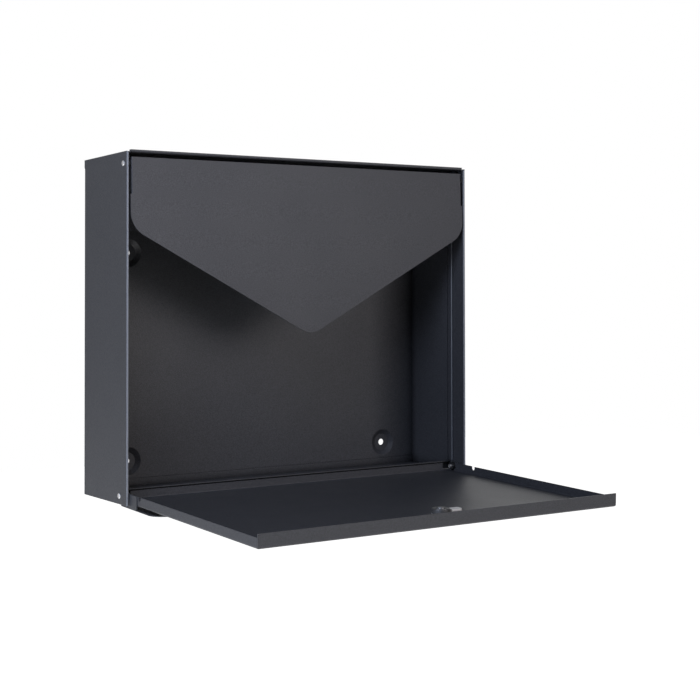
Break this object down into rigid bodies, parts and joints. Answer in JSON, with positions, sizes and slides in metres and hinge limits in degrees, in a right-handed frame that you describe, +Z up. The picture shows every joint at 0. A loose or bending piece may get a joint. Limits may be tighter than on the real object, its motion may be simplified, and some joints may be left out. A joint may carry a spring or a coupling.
{
  "type": "wall mounted mailbox",
  "caption": "Wall mounted sheet steel mailbox with a pointed envelope style letter flap, and a drop-down lower front door with a cam lock, shown open",
  "frame": {"origin": "centre of the rectangle of four wall holes, on the wall plane", "axes": "+X along the wall to the right seen from the front, +Y into the wall, +Z up; the letter flap and door face -Y"},
  "size_m": [0.4114, 0.3486, 0.3507],
  "materials": {
    "powder_coat": "fine textured matte anthracite powder coat",
    "nickel": "bright nickel plate",
    "zinc_plate": "dull zinc plate",
    "black_plastic": "moulded black bearing plastic"
  },
  "bodies": {
    "case": {"left_side_panel": "powder_coat", "right_side_panel": "powder_coat", "roof_panel": "powder_coat", "inner_liner": "powder_coat", "back_panel": "powder_coat", "keeper_rail": "powder_coat", "lock_keeper": "zinc_plate", "flap_pin_left": "nickel", "flap_pin_right": "nickel", "door_pin_left": "nickel", "door_pin_right": "nickel"},
    "flap": {"flap_panel": "powder_coat", "flap_bush_left": "black_plastic", "flap_bush_right": "black_plastic"},
    "door": {"door_pan": "powder_coat", "lower_front_plate": "powder_coat", "door_bush_left": "black_plastic", "door_bush_right": "black_plastic", "lock_housing": "nickel", "lock_nut": "nickel"},
    "lock_core": {"lock_plug": "nickel", "lock_cam": "nickel", "cam_washer": "nickel", "cam_screw": "nickel"}
  },
  "joints": [
    {"name": "door_hinge", "type": "hinge", "parent": "case", "child": "door", "pos_m": [0, -0.0855, -0.1295], "axis": [-1, 0, 0], "range_deg": [0, 91.75]},
    {"name": "flap_hinge", "type": "hinge", "parent": "case", "child": "flap", "pos_m": [0, -0.094, 0.192], "axis": [-1, 0, 0], "range_deg": [0, 100]},
    {"name": "lock_turn", "type": "hinge", "parent": "door", "child": "lock_core", "pos_m": [0, -0.33039, -0.13698], "axis": [0, -0.0305, 0.9995], "range_deg": [0, 90]}
  ]
}
